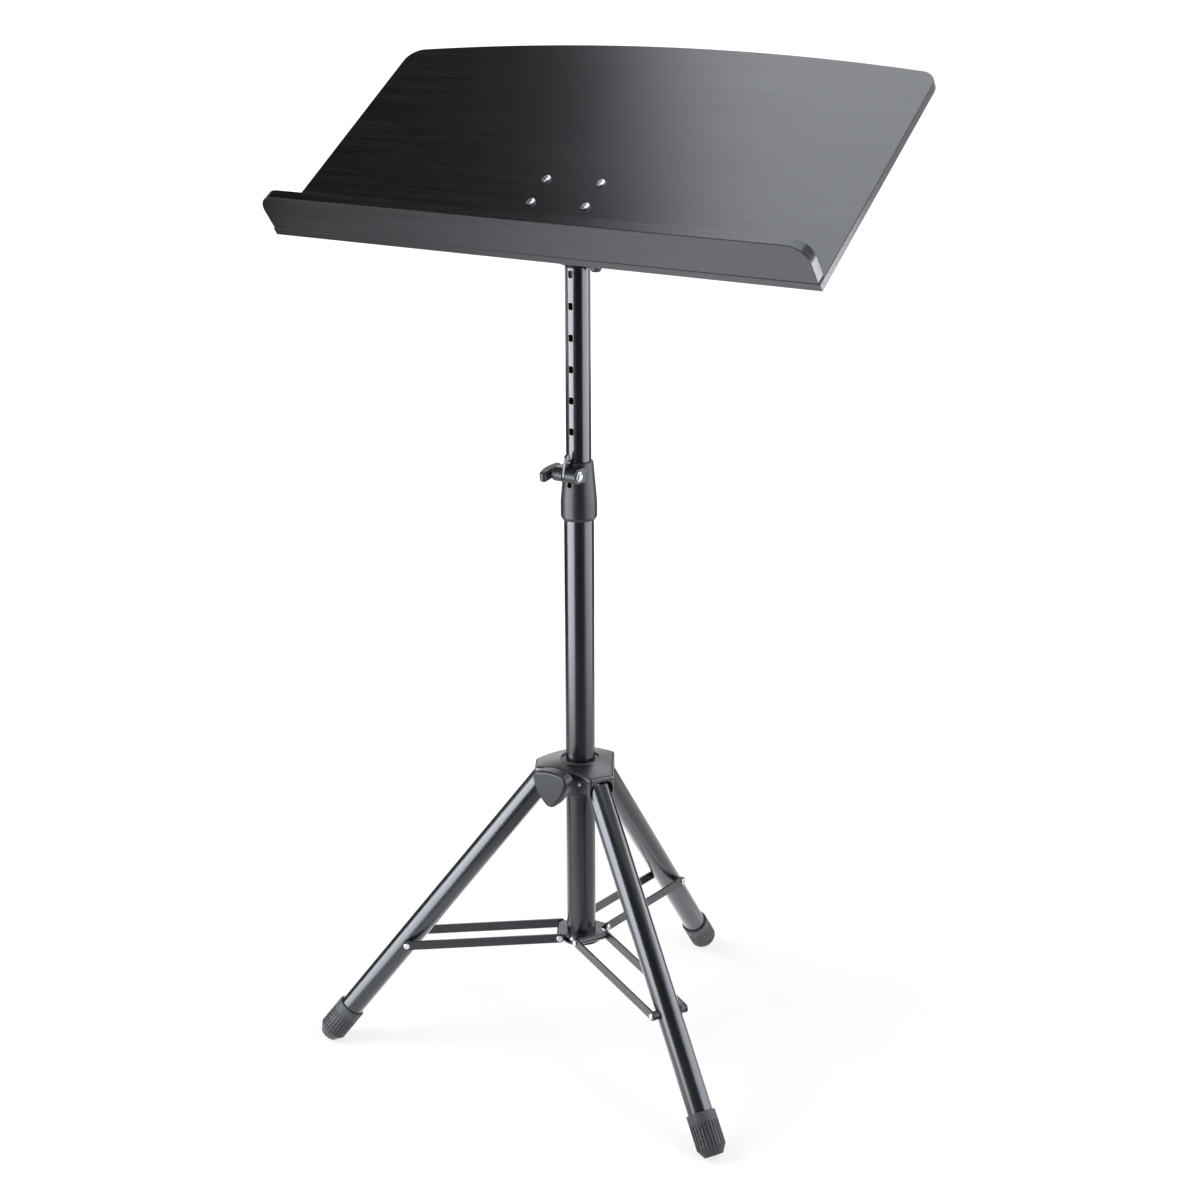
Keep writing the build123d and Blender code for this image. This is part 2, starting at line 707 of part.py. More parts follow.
with BuildPart() as bell_shell:
    with BuildSketch(Plane.XY.offset(bell_bottom)):
        Polygon(*outer_points, align=None)
    extrude(amount=dome_top - bell_bottom)
    with BuildSketch(Plane.XZ):
        with Locations((0, dome_centre)):
            Circle(bell_dome_radius)
        with Locations((0, dome_centre)):
            Rectangle(
                bell_dome_radius,
                4 * bell_dome_radius,
                align=(Align.MAX, Align.CENTER),
                mode=Mode.SUBTRACT,
            )
    revolve(axis=Axis.Z, mode=Mode.INTERSECT)
    bell_edges = bell_shell.edges().filter_by(Axis.Z) + bell_shell.faces().sort_by(Axis.Z)[-1].edges()
    fillet(bell_edges, bell_round)
    add(bell_hollow.part, mode=Mode.SUBTRACT)
    rim_z = dome_centre + sqrt(bell_dome_radius ** 2 - (neck_radius + neck_wall) ** 2)
    with BuildSketch(Plane.XZ):
        with Locations((neck_radius, rim_z)):
            Rectangle(neck_wall, neck_depth, align=(Align.MIN, Align.MAX))
        with Locations((neck_radius + bead_radius, rim_z)):
            Circle(bead_radius)
    revolve(axis=Axis.Z)
    with BuildSketch(Plane.XY.offset(bell_bottom)):
        Circle(neck_radius)
    extrude(amount=dome_top - bell_bottom + 2 * bead_radius, mode=Mode.SUBTRACT)
    for azimuth in leg_azimuths.values():
        face_plane = Plane.YZ.rotated((0, 0, azimuth - front_azimuth)).offset(bell_between_face - bell_sheet)
        with BuildSketch(face_plane):
            with Locations((0, hinge_z + arch_rise)):
                RectangleRounded(2 * arch_half, 4 * arch_half, arch_corner, align=(Align.CENTER, Align.MAX))
        extrude(amount=bell_leg_face, mode=Mode.SUBTRACT)
    for azimuth in between_azimuths:
        with BuildSketch(Plane.YZ.rotated((0, 0, azimuth)).offset(bell_between_face - 2 * bell_sheet)):
            with Locations((0, bell_shoulder - window_drop)):
                RectangleRounded(
                    window_width,
                    2 * bell_leg_face,
                    window_corner,
                    align=(Align.CENTER, Align.MAX),
                )
        extrude(amount=bell_leg_face, mode=Mode.SUBTRACT)
    for azimuth in leg_azimuths.values():
        pin_plane = Plane.XZ.rotated((0, 0, azimuth - front_azimuth))
        with BuildSketch(pin_plane):
            with Locations((hinge_radius, hinge_z)):
                Circle(hinge_pin_radius + slip)
        extrude(amount=bell_leg_face, both=True, mode=Mode.SUBTRACT)
    knob_plane = Plane.YZ.rotated((0, 0, knob_azimuth - front_azimuth))
    with BuildSketch(knob_plane):
        with Locations((0, knob_z)):
            Circle(stud_radius + running)
    extrude(amount=bell_leg_face, mode=Mode.SUBTRACT)
save(turned(bell_shell.part, front_azimuth), "bell_shell")

# Bell core: guide on the column with a sleeve in the neck, three blocks between the legs
core_bottom = bell_bottom + core_setback
core_top = hinge_z + core_rise
pocket_start = hinge_radius - leg_radius - 2 * side_gap
with BuildPart() as bell_core:
    with BuildSketch(Plane.XY.offset(core_bottom)):
        Polygon(*inner_points, align=None)
        for azimuth in leg_azimuths.values():
            with Locations(Location((0, 0), azimuth - front_azimuth)):
                with Locations((pocket_start, 0)):
                    Rectangle(
                        2 * bell_leg_face,
                        2 * arch_half,
                        align=(Align.MIN, Align.CENTER),
                        mode=Mode.SUBTRACT,
                    )
        for azimuth in between_azimuths:
            with Locations(Location((0, 0), azimuth)):
                with Locations((bell_between_face - bell_sheet - core_hollow_depth, 0)):
                    Rectangle(
                        bell_leg_face,
                        core_hollow_width,
                        align=(Align.MIN, Align.CENTER),
                        mode=Mode.SUBTRACT,
                    )
    extrude(amount=core_top - core_bottom)
    with BuildSketch(Plane.XY.offset(core_top)):
        Circle(neck_radius - slip)
    extrude(amount=rim_z - sleeve_drop - core_top)
    with BuildSketch(Plane.XY.offset(core_bottom)):
        Circle(column_radius + running)
    extrude(amount=rim_z - core_bottom, mode=Mode.SUBTRACT)
    for azimuth in leg_azimuths.values():
        pin_plane = Plane.XZ.rotated((0, 0, azimuth - front_azimuth))
        with BuildSketch(pin_plane):
            with Locations((hinge_radius, hinge_z)):
                Circle(hinge_pin_radius + slip)
        extrude(amount=bell_leg_face, both=True, mode=Mode.SUBTRACT)
    with BuildSketch(knob_plane):
        with Locations((0, knob_z)):
            Circle(stud_radius + running)
    extrude(amount=bell_leg_face, mode=Mode.SUBTRACT)
save(turned(bell_core.part, front_azimuth), "bell_core")

# Pins that the legs hinge on
with BuildPart() as leg_pins:
    for azimuth in leg_azimuths.values():
        pin_plane = Plane.XZ.rotated((0, 0, azimuth - front_azimuth))
        with BuildSketch(pin_plane):
            with Locations((hinge_radius, hinge_z)):
                Circle(hinge_pin_radius)
        extrude(amount=pin_end, both=True)
    fillet(leg_pins.edges().filter_by(GeomType.CIRCLE), pin_round)
save(turned(leg_pins.part, front_azimuth), "leg_pins")

# Three-lobed knob, drawn along +X
lobe_reach = knob_reach - knob_lobe
corners = [
    (lobe_reach * cos(radians(angle)), lobe_reach * sin(radians(angle)) + knob_z)
    for angle in (30, 150, 270)
]
with BuildPart() as tripod_knob:
    with BuildSketch(Plane.YZ.offset(knob_back)):
        with BuildLine():
            RadiusArc(corners[0], corners[1], -knob_side_radius)
            RadiusArc(corners[1], corners[2], -knob_side_radius)
            RadiusArc(corners[2], corners[0], -knob_side_radius)
        make_face()
        offset(amount=knob_lobe)
    extrude(amount=knob_thickness)
    fillet(tripod_knob.faces().sort_by(Axis.X)[-1].edges(), knob_edge)
    fillet(tripod_knob.faces().sort_by(Axis.X)[0].edges(), knob_edge / 2)
    with BuildSketch(Plane.YZ.offset(bell_between_face + side_gap)):
        with Locations((0, knob_z)):
            Circle(knob_neck_radius)
    extrude(amount=knob_back - bell_between_face)
    with BuildSketch(Plane.YZ.offset(bell_between_face)):
        with Locations((0, knob_z)):
            Circle(stud_radius + slip)
    extrude(amount=knob_back - bell_between_face + stud_depth, mode=Mode.SUBTRACT)
save(turned(tripod_knob.part, knob_azimuth), "tripod_knob")

# Stud of the knob, its tip close to the column
with BuildPart() as knob_stud:
    with BuildSketch(Plane.YZ.offset(column_radius + stud_gap)):
        with Locations((0, knob_z)):
            Circle(stud_radius)
    extrude(amount=knob_back + stud_depth - column_radius - stud_gap)
    chamfer(knob_stud.edges().sort_by(Axis.X)[0], stud_chamfer)
save(turned(knob_stud.part, knob_azimuth), "knob_stud")

# Leg tube with a tongue at the hinge
with BuildPart() as leg_tube:
    with BuildSketch(leg_side):
        Circle(leg_tongue)
        Rectangle(2 * leg_tongue_length, 2 * leg_tongue, align=(Align.MIN, Align.CENTER))
        with Locations((leg_tongue_length, 0)):
            Rectangle(
                foot_rim + leg_insert - leg_tongue_length,
                2 * leg_radius,
                align=(Align.MIN, Align.CENTER),
            )
    extrude(amount=leg_radius, both=True)
    with BuildSketch(leg_plane.offset(-2 * leg_radius)):
        Circle(leg_radius)
    extrude(amount=foot_end, mode=Mode.INTERSECT)
    with BuildSketch(leg_plane.offset(-2 * leg_radius)):
        Circle(leg_radius - leg_wall)
    extrude(amount=foot_end + 2 * leg_radius, mode=Mode.SUBTRACT)
    with BuildSketch(leg_side):
        Circle(hinge_pin_radius + running)
    extrude(amount=leg_radius, both=True, mode=Mode.SUBTRACT)
    with BuildSketch(leg_side):
        with Locations((brace_reach, 0)):
            Circle(hub_pin_radius + slip)
    extrude(amount=leg_radius, both=True, mode=Mode.SUBTRACT)

# Ribbed rubber foot with a small flat sole
with BuildPart() as leg_foot:
    with BuildSketch(leg_plane.offset(foot_rim)):
        Circle(foot_radius)
    extrude(amount=foot_straight)
    fillet(leg_foot.edges().sort_by(Axis(leg_plane.origin, leg_line))[0], foot_edge)
    with BuildSketch(leg_plane.offset(foot_rim + foot_straight)):
        Circle(foot_radius)
    with BuildSketch(leg_plane.offset(foot_end)):
        Circle(foot_tip_radius)
    loft()
    with BuildSketch(leg_plane.offset(foot_rim + groove_start)):
        with PolarLocations(foot_radius, groove_count):
            Rectangle(2 * groove_depth, groove_width)
    extrude(amount=foot_straight, mode=Mode.SUBTRACT)
    with BuildSketch(leg_plane.offset(foot_rim)):
        Circle(leg_radius)
    extrude(amount=leg_insert, mode=Mode.SUBTRACT)
    with BuildSketch(Plane.XY):
        Rectangle(4 * foot_end, 4 * foot_radius)
    extrude(amount=-foot_radius, mode=Mode.SUBTRACT)

# Bushes on both sides of the leg, on one pin
with BuildPart() as leg_bush:
    with BuildSketch(leg_side):
        with Locations((brace_reach, 0)):
            Circle(hub_pin_radius)
    extrude(amount=barrel_half, both=True)
    for start, length in ((leg_radius, barrel_half - leg_radius), (-leg_radius, leg_radius - barrel_half)):
        with BuildSketch(leg_side.offset(start)):
            with Locations((brace_reach, 0)):
                Circle(bush_radius)
        extrude(amount=length)

# Brace: two strips, the pin in the hub and two rivets at the leg
pivot_r = hinge_radius + brace_reach * splay_sin
pivot_h = hinge_z - brace_reach * splay_cos
brace_run = pivot_r - hub_pin_radius_out
brace_rise = pivot_h - hub_pin_z
brace_length = hypot(brace_run, brace_rise)
brace_line = Vector(brace_run, 0, brace_rise).normalized()
brace_side = Plane(origin=(hub_pin_radius_out, 0, hub_pin_z), x_dir=brace_line, z_dir=(0, 1, 0))


def brace_strip(start):
    """One flat strip with rounded ends, its inner or outer face at a set distance from the leg plane."""
    with BuildPart() as strip:
        with BuildSketch(brace_side.offset(start)):
            with Locations((brace_length / 2, 0)):
                SlotCenterToCenter(brace_length, strip_height)
            with Locations((0, 0), (brace_length, 0)):
                Circle(hub_pin_radius + slip, mode=Mode.SUBTRACT)
        extrude(amount=strip_thickness)
    return strip.part


strip_right = brace_strip(strip_inner)
strip_left = brace_strip(-strip_outer)

with BuildPart() as brace_pin:
    with BuildSketch(brace_side.offset(-strip_outer)):
        Circle(rivet_head_radius)
    extrude(amount=-rivet_head_height)
    with BuildSketch(brace_side.offset(strip_outer)):
        Circle(rivet_head_radius)
    extrude(amount=rivet_head_height)
    outer_rims = [brace_pin.edges().sort_by(Axis.Y)[0], brace_pin.edges().sort_by(Axis.Y)[-1]]
    fillet(outer_rims, rivet_head_height * 0.8)
    with BuildSketch(brace_side):
        Circle(hub_pin_radius)
    extrude(amount=strip_outer, both=True)

with BuildPart() as brace_rivets:
    for side in (-1, 1):
        with BuildSketch(brace_side.offset(side * strip_outer)):
            with Locations((brace_length, 0)):
                Circle(rivet_head_radius)
        extrude(amount=side * rivet_head_height)
    outer_rims = [brace_rivets.edges().sort_by(Axis.Y)[0], brace_rivets.edges().sort_by(Axis.Y)[-1]]
    fillet(outer_rims, rivet_head_height * 0.8)
    for side in (-1, 1):
        with BuildSketch(brace_side.offset(side * strip_outer)):
            with Locations((brace_length, 0)):
                Circle(hub_pin_radius)
        extrude(amount=-side * strip_thickness)

# The three legs and braces, turned to their places
for name, azimuth in leg_azimuths.items():
    save(turned(leg_tube.part, azimuth), f"leg_{name}_tube")
    save(turned(leg_foot.part, azimuth), f"leg_{name}_foot")
    save(turned(leg_bush.part, azimuth), f"leg_{name}_bush")
    save(turned(strip_left, azimuth), f"brace_{name}_strip_left")
    save(turned(strip_right, azimuth), f"brace_{name}_strip_right")
    save(turned(brace_pin.part, azimuth), f"brace_{name}_pin")
    save(turned(brace_rivets.part, azimuth), f"brace_{name}_rivets")
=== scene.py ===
import json
from math import atan2, cos, pi, radians, sin, tan

import bmesh
import bpy
from mathutils import Matrix, Vector


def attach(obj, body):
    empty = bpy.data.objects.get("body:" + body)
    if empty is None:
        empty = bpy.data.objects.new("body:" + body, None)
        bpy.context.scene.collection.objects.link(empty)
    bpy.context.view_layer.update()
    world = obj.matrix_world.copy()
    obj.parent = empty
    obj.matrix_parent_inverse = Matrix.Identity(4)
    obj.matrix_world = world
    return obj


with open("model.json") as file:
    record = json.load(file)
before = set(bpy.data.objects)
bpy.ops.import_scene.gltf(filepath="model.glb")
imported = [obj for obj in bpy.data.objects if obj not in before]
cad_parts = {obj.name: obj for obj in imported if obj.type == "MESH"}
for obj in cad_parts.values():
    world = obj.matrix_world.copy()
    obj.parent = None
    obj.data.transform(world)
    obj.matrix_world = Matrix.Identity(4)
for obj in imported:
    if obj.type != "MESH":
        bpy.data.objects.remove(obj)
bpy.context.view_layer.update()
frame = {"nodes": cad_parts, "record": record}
nodes = frame["nodes"]

# Measured camera: metres, degrees, and millimetres for the lens and its square sensor
CAMERA_PLACE = Vector((1.2265, -1.7644, 1.1738))
CAMERA_YAW = 34.252
CAMERA_PITCH = 17.490
CAMERA_ROLL = -0.167
CAMERA_LENS = 66.93
CAMERA_SENSOR = 36.0
CAMERA_REACH = 100.0

# Finishes: the desk's tilt at rest in degrees, lengths in metres, and colours
DESK_TILT = 36.1
EDGE_ROUND = 0.0004
RIB_DEPTH = 0.002
PIN_BRIGHT_RADIUS = 0.0365
COAT_TINT = (0.88, 0.92, 1.0, 1.0)
NICKEL_DARK = (0.31, 0.32, 0.33)
NICKEL_LIGHT = (0.42, 0.43, 0.44)

# Guide sleeve under the bell core: metres, and degrees from which its edges are sharp
SLEEVE_BORE = 0.0154
SLEEVE_RADIUS = 0.0190
SLEEVE_TOP = 0.3021
SLEEVE_BOTTOM = 0.2885
SLEEVE_ROUND = 0.0008
SLEEVE_INSET = 0.3 * SLEEVE_ROUND
SLEEVE_SIDES = 64
SLEEVE_SHARP = 50.0

# Floor and even light: metres, and brightness where 1 is white
WHITE = (1.0, 1.0, 1.0, 1.0)
WORLD_TINT = (0.95, 0.97, 1.0, 1.0)
WORLD_LIGHT = 0.45
FLOOR_HALF = 60.0
FLOOR_PALE = (0.8, 0.8, 0.8, 1.0)
FLOOR_SHADE = (0.42, 0.42, 0.42, 1.0)
FLOOR_NEAR = 0.5
FLOOR_FAR = 1.6
FLOOR_GLOW = 0.72
LAMP_TARGET = (0.0, 0.0, 0.6)

# Cards for the reflections: metres, brightness, and the nodes that some cards don't light
CARD_TINT = (0.97, 0.98, 1.0, 1.0)
CARD_RISE = 0.5
CARD_HEIGHTS = (0.0, 0.8)
FLAG_HEIGHTS = (0.0, 0.5)
FLAG_BACK_HEIGHTS = (0.0, 0.42)
FLAG_LEVELS = (0.04, 0.04)
SPARED_NODES = ("desk_board", "front_lip", "clamp_nut")

# Places of the colour sockets on a Mix node
MIX_FIRST = 6
MIX_SECOND = 7
MIX_RESULT = 2

scene = bpy.context.scene
scene.view_settings.view_transform = "Standard"


def add_camera():
    """Camera at the photograph's place."""
    data = bpy.data.cameras.new("camera")
    data.sensor_fit = "HORIZONTAL"
    data.sensor_width = CAMERA_SENSOR
    data.sensor_height = CAMERA_SENSOR
    data.lens = CAMERA_LENS
    data.clip_end = CAMERA_REACH
    yaw = radians(CAMERA_YAW)
    pitch = radians(CAMERA_PITCH)
    roll = radians(CAMERA_ROLL)
    forward = Vector((-sin(yaw) * cos(pitch), cos(yaw) * cos(pitch), -sin(pitch)))
    right = Vector((cos(yaw), sin(yaw), 0.0))
    up = right.cross(forward)
    rolled_right = right * cos(roll) + up * sin(roll)
    rolled_up = up * cos(roll) - right * sin(roll)
    turn = Matrix((rolled_right, rolled_up, -forward)).transposed().to_4x4()
    camera = bpy.data.objects.new("camera", data)
    camera.matrix_world = Matrix.Translation(CAMERA_PLACE) @ turn
    scene.collection.objects.link(camera)
    scene.camera = camera


class ShaderTree:
    """Short way to write the nodes of a material or a world."""

    def __init__(self, node_tree):
        self.node_tree = node_tree
        node_tree.nodes.clear()

    def add(self, kind, **settings):
        """One node, with its settings."""
        node = self.node_tree.nodes.new(kind)
        for name, value in settings.items():
            setattr(node, name, value)
        return node

    def link(self, source, target):
        """Join two sockets."""
        self.node_tree.links.new(source, target)

    def feed(self, source, target):
        """Join two sockets, or set the second to a plain number or colour."""
        if isinstance(source, bpy.types.NodeSocket):
            self.link(source, target)
        else:
            target.default_value = source

    def coordinates(self, scale=(1, 1, 1), turn=(0, 0, 0)):
        """Object coordinates, turned and then scaled."""
        place = self.add("ShaderNodeTexCoord")
        turned = self.add("ShaderNodeMapping")
        turned.inputs["Rotation"].default_value = turn
        scaled = self.add("ShaderNodeMapping")
        scaled.inputs["Scale"].default_value = scale
        self.link(place.outputs["Object"], turned.inputs["Vector"])
        self.link(turned.outputs["Vector"], scaled.inputs["Vector"])
        return scaled.outputs["Vector"]

    def length(self, vector):
        """Length of a vector."""
        node = self.add("ShaderNodeVectorMath", operation="LENGTH")
        self.link(vector, node.inputs[0])
        return node.outputs["Value"]

    def noise(self, vector, scale, detail=3.0, rough=0.5, distortion=0.0):
        """Noise value."""
        node = self.add("ShaderNodeTexNoise")
        node.inputs["Scale"].default_value = scale
        node.inputs["Detail"].default_value = detail
        node.inputs["Roughness"].default_value = rough
        node.inputs["Distortion"].default_value = distortion
        self.link(vector, node.inputs["Vector"])
        return node.outputs["Fac"]

    def ramp(self, value, low, high, start=0.3, end=0.7):
        """Colour between two colours, by a value."""
        node = self.add("ShaderNodeValToRGB")
        node.color_ramp.elements[0].position = start
        node.color_ramp.elements[1].position = end
        node.color_ramp.elements[0].color = (*low, 1.0)
        node.color_ramp.elements[1].color = (*high, 1.0)
        self.link(value, node.inputs["Fac"])
        return node.outputs["Color"]

    def span(self, value, low, high, start=0.25, end=0.75, kind="LINEAR"):
        """A value that goes from low at start to high at end, and no further."""
        node = self.add("ShaderNodeMapRange", interpolation_type=kind)
        node.inputs["From Min"].default_value = start
        node.inputs["From Max"].default_value = end
        node.inputs["To Min"].default_value = low
        node.inputs["To Max"].default_value = high
        self.link(value, node.inputs["Value"])
        return node.outputs["Result"]

    def math(self, operation, first, second):
        """Sum, product or other of two sockets, or of a socket and a number."""
        node = self.add("ShaderNodeMath", operation=operation)
        self.link(first, node.inputs[0])
        self.feed(second, node.inputs[1])
        return node.outputs[0]

    def blend(self, first, second, share):
        """The first value at its share, and the second at the rest."""
        part = self.math("MULTIPLY", first, share)
        rest = self.math("MULTIPLY", second, 1.0 - share)
        return self.math("ADD", part, rest)

    def mix(self, factor, first, second):
        """Colour from the first, a colour or a socket, to the second, by a factor."""
        node = self.add("ShaderNodeMix", data_type="RGBA")
        self.link(factor, node.inputs["Factor"])
        self.feed(first, node.inputs[MIX_FIRST])
        self.feed(second, node.inputs[MIX_SECOND])
        return node.outputs[MIX_RESULT]

    def bump(self, height, strength, distance, edge_round=0.0):
        """Bump normal from a height, over softly rounded edges where a radius is given."""
        node = self.add("ShaderNodeBump")
        node.inputs["Strength"].default_value = strength
        node.inputs["Distance"].default_value = distance
        self.link(height, node.inputs["Height"])
        if edge_round:
            edge = self.add("ShaderNodeBevel", samples=4)
            edge.inputs["Radius"].default_value = edge_round
            self.link(edge.outputs["Normal"], node.inputs["Normal"])
        return node.outputs["Normal"]

    def surface(self, colour, roughness, normal, metallic=0.0, specular=0.5):
        """Principled surface that ends the material."""
        shader = self.add("ShaderNodeBsdfPrincipled")
        self.link(colour, shader.inputs["Base Color"])
        self.link(roughness, shader.inputs["Roughness"])
        self.link(normal, shader.inputs["Normal"])
        self.feed(metallic, shader.inputs["Metallic"])
        shader.inputs["Specular IOR Level"].default_value = specular
        shader.inputs["Specular Tint"].default_value = COAT_TINT
        self.end(shader.outputs["BSDF"])

    def shader(self, kind, colour, strength=None):
        """Simple shader of one colour, with a strength where it glows."""
        node = self.add(kind)
        node.inputs["Color"].default_value = colour
        if strength is not None:
            self.feed(strength, node.inputs["Strength"])
        return node.outputs[0]

    def sum_shaders(self, first, second):
        """Two shaders added up."""
        node = self.add("ShaderNodeAddShader")
        self.link(first, node.inputs[0])
        self.link(second, node.inputs[1])
        return node.outputs[0]

    def mix_shaders(self, factor, first, second):
        """From the first shader to the second, by a factor."""
        node = self.add("ShaderNodeMixShader")
        self.link(factor, node.inputs[0])
        self.link(first, node.inputs[1])
        self.link(second, node.inputs[2])
        return node.outputs[0]

    def end(self, shader, kind="ShaderNodeOutputMaterial"):
        """Output node that ends the tree."""
        output = self.add(kind)
        self.link(shader, output.inputs["Surface"])


def new_material(name):
    """A material with an empty node tree."""
    material = bpy.data.materials.new(name)
    material.use_nodes = True
    return material, ShaderTree(material.node_tree)


def black_wood(name, dark, light):
    """Black-stained veneer under satin lacquer, with fine grain along X."""
    material, tree = new_material(name)
    turn = (radians(-DESK_TILT), 0, 0)
    along = tree.coordinates(scale=(1.6, 70, 70), turn=turn)
    long_grain = tree.noise(along, scale=3.0, detail=5.0, rough=0.68, distortion=0.35)
    pores = tree.noise(tree.coordinates(scale=(14, 900, 900), turn=turn), scale=2.0, detail=2.0)
    clouds = tree.noise(tree.coordinates(scale=(3, 9, 9), turn=turn), scale=1.6, detail=2.0)
    grain = tree.blend(long_grain, pores, share=0.7)
    colour = tree.ramp(grain, dark, light, start=0.36, end=0.66)
    roughness = tree.span(tree.blend(grain, clouds, share=0.6), low=0.23, high=0.17)
    tree.surface(colour, roughness, tree.bump(grain, strength=0.14, distance=0.0004), specular=0.62)
    return material


def black_tube():
    """Gloss black powder coat with faint orange peel."""
    material, tree = new_material("gloss_tube")
    vector = tree.coordinates()
    peel = tree.noise(vector, scale=420.0, detail=2.0)
    fine = tree.noise(vector, scale=1800.0, detail=2.0)
    clouds = tree.noise(vector, scale=14.0)
    colour = tree.ramp(clouds, low=(0.007, 0.0075, 0.0083), high=(0.0102, 0.0108, 0.0119))
    roughness = tree.span(clouds, low=0.2, high=0.27)
    height = tree.math("ADD", peel, tree.math("MULTIPLY", fine, 0.4))
    tree.surface(colour, roughness, tree.bump(height, strength=0.05, distance=0.0004))
    return material


def black_sheet(name, specular):
    """Satin black coat on pressed steel."""
    material, tree = new_material(name)
    vector = tree.coordinates()
    grain = tree.noise(vector, scale=1400.0, rough=0.6)
    clouds = tree.noise(vector, scale=30.0)
    colour = tree.ramp(clouds, low=(0.0105, 0.0111, 0.0122), high=(0.0168, 0.0178, 0.0194))
    roughness = tree.span(clouds, low=0.27, high=0.36)
    normal = tree.bump(grain, strength=0.1, distance=0.0003, edge_round=EDGE_ROUND)
    tree.surface(colour, roughness, normal, specular=specular)
    return material


def black_plastic(name, specular):
    """Moulded black plastic with a fine spark-eroded grain."""
    material, tree = new_material(name)
    vector = tree.coordinates()
    grain = tree.noise(vector, scale=1900.0, detail=2.0, rough=0.6)
    clouds = tree.noise(vector, scale=45.0)
    colour = tree.ramp(clouds, low=(0.0132, 0.014, 0.0152), high=(0.0196, 0.0207, 0.0226))
    roughness = tree.span(tree.blend(grain, clouds, share=0.5), low=0.33, high=0.42)
    normal = tree.bump(grain, strength=0.12, distance=0.0004, edge_round=EDGE_ROUND)
    tree.surface(colour, roughness, normal, specular=specular)
    return material


def nylon():
    """Plain black nylon of bushes and washers."""
    material, tree = new_material("nylon")
    clouds = tree.noise(tree.coordinates(), scale=120.0)
    colour = tree.ramp(clouds, low=(0.0114, 0.012, 0.013), high=(0.0188, 0.0198, 0.0214))
    roughness = tree.span(clouds, low=0.38, high=0.48)
    tree.surface(colour, roughness, tree.bump(clouds, strength=0.06, distance=0.0004))
    return material


def rubber():
    """Matte black rubber with dust on its ribs, and painted shade darkening the grooves between them."""
    material, tree = new_material("foot_rubber")
    vector = tree.coordinates()
    grain = tree.noise(vector, scale=1300.0, rough=0.65)
    dust = tree.noise(vector, scale=60.0, detail=4.0, rough=0.6)
    dusty = tree.ramp(dust, low=(0.026, 0.0274, 0.0298), high=(0.041, 0.0432, 0.0466))
    # Painted shade: ambient occlusion over the rib depth darkens the colour towards near black in the
    # grooves between the ribs
    groove_occlusion = tree.add("ShaderNodeAmbientOcclusion", samples=8, only_local=True)
    groove_occlusion.inputs["Distance"].default_value = RIB_DEPTH
    outside_groove_shade = tree.span(groove_occlusion.outputs["AO"], low=0.0, high=1.0, start=0.55, end=0.95)
    colour = tree.mix(outside_groove_shade, (0.0035, 0.0037, 0.0041, 1.0), dusty)
    roughness = tree.span(dust, low=0.55, high=0.68)
    tree.surface(colour, roughness, tree.bump(grain, strength=0.2, distance=0.0004), specular=0.4)
    return material


def bright_steel():
    """Nickel-plated steel with fine turning marks."""
    material, tree = new_material("nickel")
    vector = tree.coordinates()
    marks = tree.noise(vector, scale=900.0, detail=2.0)
    clouds = tree.noise(vector, scale=200.0, detail=2.0)
    colour = tree.ramp(clouds, NICKEL_DARK, NICKEL_LIGHT)
    roughness = tree.span(marks, low=0.2, high=0.3)
    tree.surface(colour, roughness, tree.bump(marks, strength=0.04, distance=0.0003), metallic=1.0)
    return material


def pin_steel():
    """Dark oiled steel of the leg pins, worn bright at the ends, far from the column's axis."""
    material, tree = new_material("pin_steel")
    radius = tree.length(tree.coordinates(scale=(1, 1, 0)))
    worn = tree.math("GREATER_THAN", radius, PIN_BRIGHT_RADIUS)
    marks = tree.noise(tree.coordinates(), scale=900.0)
    oiled = tree.ramp(marks, low=(0.006, 0.006, 0.0064), high=(0.011, 0.011, 0.0116))
    bare = tree.ramp(marks, NICKEL_DARK, NICKEL_LIGHT)
    colour = tree.mix(worn, oiled, bare)
    roughness = tree.span(marks, low=0.24, high=0.34)
    tree.surface(colour, roughness, tree.bump(marks, strength=0.05, distance=0.0003), metallic=worn)
    return material


def dress_nodes():
    """Give every CAD node the finish of its slot in the record, or one of its own."""
    board_wood = black_wood("board_wood", dark=(0.0024, 0.0026, 0.0029), light=(0.0184, 0.0194, 0.0212))
    lip_wood = black_wood("lip_wood", dark=(0.0012, 0.0013, 0.0014), light=(0.0206, 0.0218, 0.0238))
    finishes = {
        "black_wood": board_wood,
        "black_tube": black_tube(),
        "black_sheet": black_sheet("satin_sheet", specular=0.5),
        "black_plastic": black_plastic("moulded_plastic", specular=0.27),
        "nylon": nylon(),
        "rubber": rubber(),
        "bright_steel": bright_steel(),
    }
    special = {
        "front_lip": lip_wood,
        "index_lever": finishes["black_tube"],
        "leg_pins": pin_steel(),
        # Painted shade: the head plug gets a copy of the moulded plastic with almost no reflection, so
        # it reads as the shade inside the column through the slot
        "tilt_head": black_plastic("head_plastic_in_painted_shade", specular=0.05),
    }
    strip_sheet = black_sheet("satin_strip", specular=0.32)
    special.update({name: strip_sheet for name in nodes if "_strip_" in name})
    for row in frame["record"]["subparts"]:
        name = row["node"]
        finish = special.get(name, finishes[row["material_slot"]])
        for material_slot in nodes[name].material_slots:
            material_slot.material = finish
    return finishes


